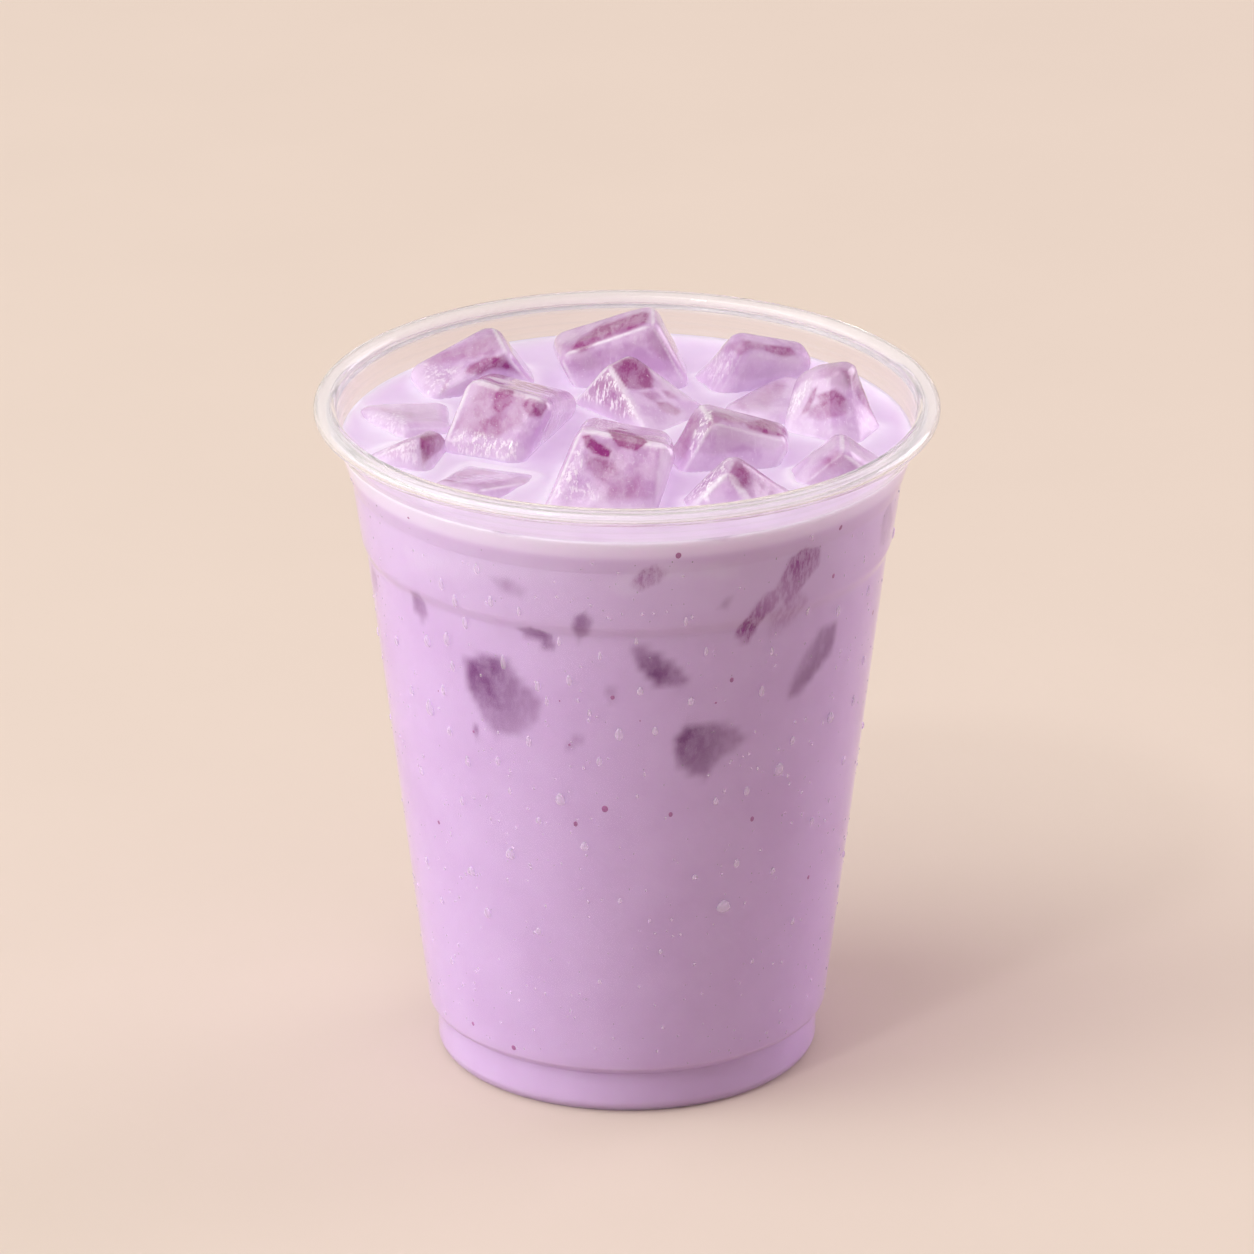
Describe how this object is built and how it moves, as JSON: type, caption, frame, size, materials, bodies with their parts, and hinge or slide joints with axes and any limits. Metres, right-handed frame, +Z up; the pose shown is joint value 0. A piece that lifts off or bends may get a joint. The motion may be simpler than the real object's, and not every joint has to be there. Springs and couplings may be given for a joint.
{
  "type": "iced taro latte",
  "caption": "Iced taro latte in a clear plastic takeaway cup with a rolled rim, filled nearly to the brim, with rounded ice pieces standing up through the lilac drink.",
  "frame": {"origin": "middle of the underside, on the plane the cup stands on", "axes": "+Z up along the cup's axis; the side seen first faces -Y"},
  "size_m": [0.098, 0.098, 0.1129],
  "materials": {
    "clear_plastic": "clear, glossy",
    "latte": "opaque milky lilac with a wet surface",
    "ice": "wet, cloudy, stained lilac by the drink"
  },
  "bodies": {
    "root": {"cup": "clear_plastic", "drink": "latte", "ice_01": "ice", "ice_02": "ice", "ice_03": "ice", "ice_04": "ice", "ice_05": "ice", "ice_06": "ice", "ice_07": "ice", "ice_08": "ice", "ice_09": "ice", "ice_10": "ice", "ice_11": "ice", "ice_12": "ice", "ice_13": "ice", "ice_14": "ice"}
  },
  "joints": []
}
